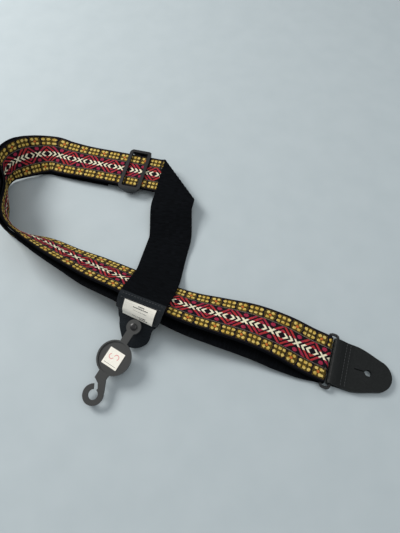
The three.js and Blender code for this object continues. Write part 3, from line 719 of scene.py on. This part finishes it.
def sticker_marks(material, ink):
    """Two plain arcs and a rule, where the sticker has its print."""
    corners = []
    for along, across, start in STICKER_ARCS:
        for i in range(ARC_STEPS):
            a, b = (math.radians(start + ARC_SWEEP * k / ARC_STEPS) for k in (i, i + 1))
            ring = ((ARC_INNER, a), (ARC_INNER, b), (ARC_OUTER, b), (ARC_OUTER, a))
            corners.append([
                on_hanger(STICKER_MIDDLE + along + r * math.cos(angle), across + r * math.sin(angle),
                          STICKER_TOP)
                for r, angle in ring
            ])
    marks = bars("sticker_marks", corners, material)
    near, far = RULE_AT, RULE_AT + RULE_WIDTH
    ends = ((near, -RULE_HALF), (near, RULE_HALF), (far, RULE_HALF), (far, -RULE_HALF))
    rule = [[on_hanger(x, y, STICKER_TOP) for x, y in ends]]
    return marks, bars("sticker_rule", rule, ink)


def stitches(name, path, material, pitch=3.0, length=2.3, radius=0.32):
    """A row of thread stitches along a path of points in metres."""
    path = np.asarray(path)
    steps = np.linalg.norm(np.diff(path, axis=0), axis=1)
    s = np.concatenate([[0.0], np.cumsum(steps)])
    mesh = bmesh.new()
    count = max(2, int(s[-1] / (pitch * MM)))
    for k in range(count):
        middle = (k + 0.5) * s[-1] / count
        ends = [
            Vector([np.interp(middle + d * length * MM / 2, s, path[:, i]) for i in range(3)])
            for d in (-1, 1)
        ]
        along = (ends[1] - ends[0]).normalized()
        turned = along.to_track_quat("X", "Z").to_matrix().to_4x4()
        size = Matrix.Diagonal((length * MM / 2, radius * MM, radius * MM, 1))
        place = Matrix.Translation((ends[0] + ends[1]) / 2) @ turned @ size
        bmesh.ops.create_uvsphere(mesh, u_segments=8, v_segments=6, radius=1, matrix=place)
    data = bpy.data.meshes.new(name)
    mesh.to_mesh(data)
    mesh.free()
    data.materials.append(material)
    data.polygons.foreach_set("use_smooth", [True] * len(data.polygons))
    piece = bpy.data.objects.new(name, data)
    bpy.context.scene.collection.objects.link(piece)
    return piece


def node_line(node):
    """The line along the middle of a straight CAD rod."""
    vertices = np.array([v.co[:] for v in node.data.vertices])
    middle = (vertices.min(0) + vertices.max(0)) / 2
    direction = np.linalg.svd(vertices - middle, full_matrices=False)[2][0]
    reach = np.abs((vertices - middle) @ direction).max()
    return np.array([middle - direction * reach, middle + direction * reach])


def finish_node(node, material, bevel=0.0):
    """Gives a CAD node its material, and softer edges."""
    for place in node.material_slots:
        place.material = material
    if bevel:
        modifier = node.modifiers.new("soft_edges", "BEVEL")
        modifier.width = bevel * MM
        modifier.segments = 2
        modifier.limit_method = "ANGLE"
        modifier.angle_limit = math.radians(50)


# ---------------------------------------------------------------- setting
IMAGE_HEIGHT = 533
FOCAL_LENGTH = 400  # in pixels of that height
SENSOR = 36
LOOKING_DOWN = 61  # degrees below level
CAMERA_AT = (35, -250, 400)
TABLE_HALF, TABLE_TOP = 3, -0.0004
CEILING_LIGHT, WINDOW_LIGHT = 6.5, 25
ROOM_LIGHT = 0.4


def set_camera():
    """The photograph's camera."""
    data = bpy.data.cameras.new("camera")
    camera = bpy.data.objects.new("camera", data)
    bpy.context.scene.collection.objects.link(camera)
    data.sensor_fit = "VERTICAL"
    data.sensor_height = SENSOR
    data.lens = SENSOR * FOCAL_LENGTH / IMAGE_HEIGHT
    camera.location = placed(CAMERA_AT)
    camera.rotation_euler = (math.radians(90 - LOOKING_DOWN), 0, 0)
    bpy.context.scene.camera = camera


def area_light(name, place, target, size, energy, color):
    """A square soft light aimed at a point."""
    data = bpy.data.lights.new(name, "AREA")
    data.size = size
    data.energy = energy
    data.color = color
    light = bpy.data.objects.new(name, data)
    light.location = place
    aim = Vector(target) - Vector(place)
    light.rotation_euler = aim.to_track_quat("-Z", "Y").to_euler()
    bpy.context.scene.collection.objects.link(light)


def set_stage(made):
    """The pale table and the light on it."""
    corners = [(x * TABLE_HALF, y * TABLE_HALF, TABLE_TOP) for x, y in ((-1, -1), (1, -1), (1, 1), (-1, 1))]
    table = mesh_object("table", corners, [(0, 1, 2, 3)], made["table"], False)
    world = bpy.data.worlds.new("room")
    world.use_nodes = True
    background = world.node_tree.nodes["Background"]
    background.inputs["Color"].default_value = (0.93, 0.97, 1, 1)
    background.inputs["Strength"].default_value = ROOM_LIGHT
    bpy.context.scene.world = world
    area_light("window", (-1.1, 0.75, 1.15), (0, 0, 0), 0.7, WINDOW_LIGHT, (1, 0.98, 0.95))
    area_light("ceiling", (0.4, -0.2, 1.6), (0, 0, 0), 1.4, CEILING_LIGHT, (1, 1, 1))
    bpy.context.scene.view_settings.view_transform = "Standard"


# ---------------------------------------------------------------- the whole strap
RIBBON_PARTS = 6
RIBBON_INSET = 0.4  # the ribbon stops this far short of the webbing's ends
SEWN_INSET = 0.2
STITCHES_AT = (51.2, 54.6)  # places of the fixed tab's seams, along the same route
STITCH_HALF = 22
STITCH_HEIGHT = 1.95


def make_strap(made):
    """The strap's webbing and its woven ribbon, in lengths."""
    webbing = woven_webbing("webbing_woven", strap, TAB_OVERLAP, LOWER_END, made["webbing"])
    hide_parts("strap_webbing")
    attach(webbing, "strap")
    marks = np.linspace(TAB_OVERLAP + RIBBON_INSET, LOWER_END - RIBBON_INSET, RIBBON_PARTS + 1)
    for i in range(RIBBON_PARTS):
        ribbon = woven_ribbon(f"ribbon_length_{i + 1}", marks[i], marks[i + 1], made["weave"])
        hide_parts("jacquard_ribbon")
        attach(ribbon, "strap")


def make_sewn_end(made):
    """The end sewn round the slider's centre bar, which moves with the slider."""
    ends = SEWN_INSET, SEWN_LENGTH - SEWN_INSET
    webbing = woven_webbing("sewn_end_woven", sewn_sheet, *ends, made["webbing"])
    ribbon = sewn_ribbon("sewn_end_pattern", made["weave"])
    for piece, slot, width in ((webbing, "webbing", WEB_WIDTH), (ribbon, "ribbon", RIBBON_WIDTH)):
        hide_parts(f"sewn_end_{slot}")
        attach(piece, "slider")


def make_stitching(made, nodes):
    """The thread along the tabs' seams."""
    for i in (1, 2):
        name = f"ring_tab_stitch_row_{i}"
        row = stitches(f"ring_tab_thread_{i}", node_line(nodes[name]), made["thread"])
        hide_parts(name)
        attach(row, "ring_tab")
    for i, s in enumerate(STITCHES_AT):
        t = np.linspace(-STITCH_HALF, STITCH_HALF, 12)
        point, up = end_route.at(np.full(12, s), t)
        row = stitches(f"fixed_tab_thread_{i + 1}", placed(point + up * STITCH_HEIGHT), made["thread"])
        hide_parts(f"fixed_tab_stitch_row_{i + 1}")
        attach(row, "strap")


def make_print(made):
    """The plain marks on the label and the sticker."""
    label = label_marks(made["ink"])
    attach(label, "strap")
    for piece in sticker_marks(made["pink_ink"], made["ink"]):
        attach(piece, "hanger")


def finish_nodes(made, nodes):
    """Materials on the CAD pieces that are shown as they are."""
    looks = {
        "slider_frame": ("plastic", 0.5), "end_ring": ("plastic", 0), "hanger_peg": ("plastic", 0),
        "ring_tab_leather": ("leather", 0.45), "fixed_tab_leather": ("leather", 0.3),
        "fixed_tab_lining": ("suede", 0.3), "shop_hanger": ("grey", 0.5), "hanger_sticker": ("paper", 0),
        "paper_label": ("paper", 0), "sewn_end_stitching": ("thread", 0),
    }
    for name, (material, bevel) in looks.items():
        finish_node(nodes[name], made[material], bevel)


def main():
    """Builds the visual model in the frame."""
    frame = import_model()
    made = make_materials()
    set_camera()
    set_stage(made)
    finish_nodes(made, frame["nodes"])
    make_strap(made)
    make_sewn_end(made)
    make_stitching(made, frame["nodes"])
    make_print(made)


main()
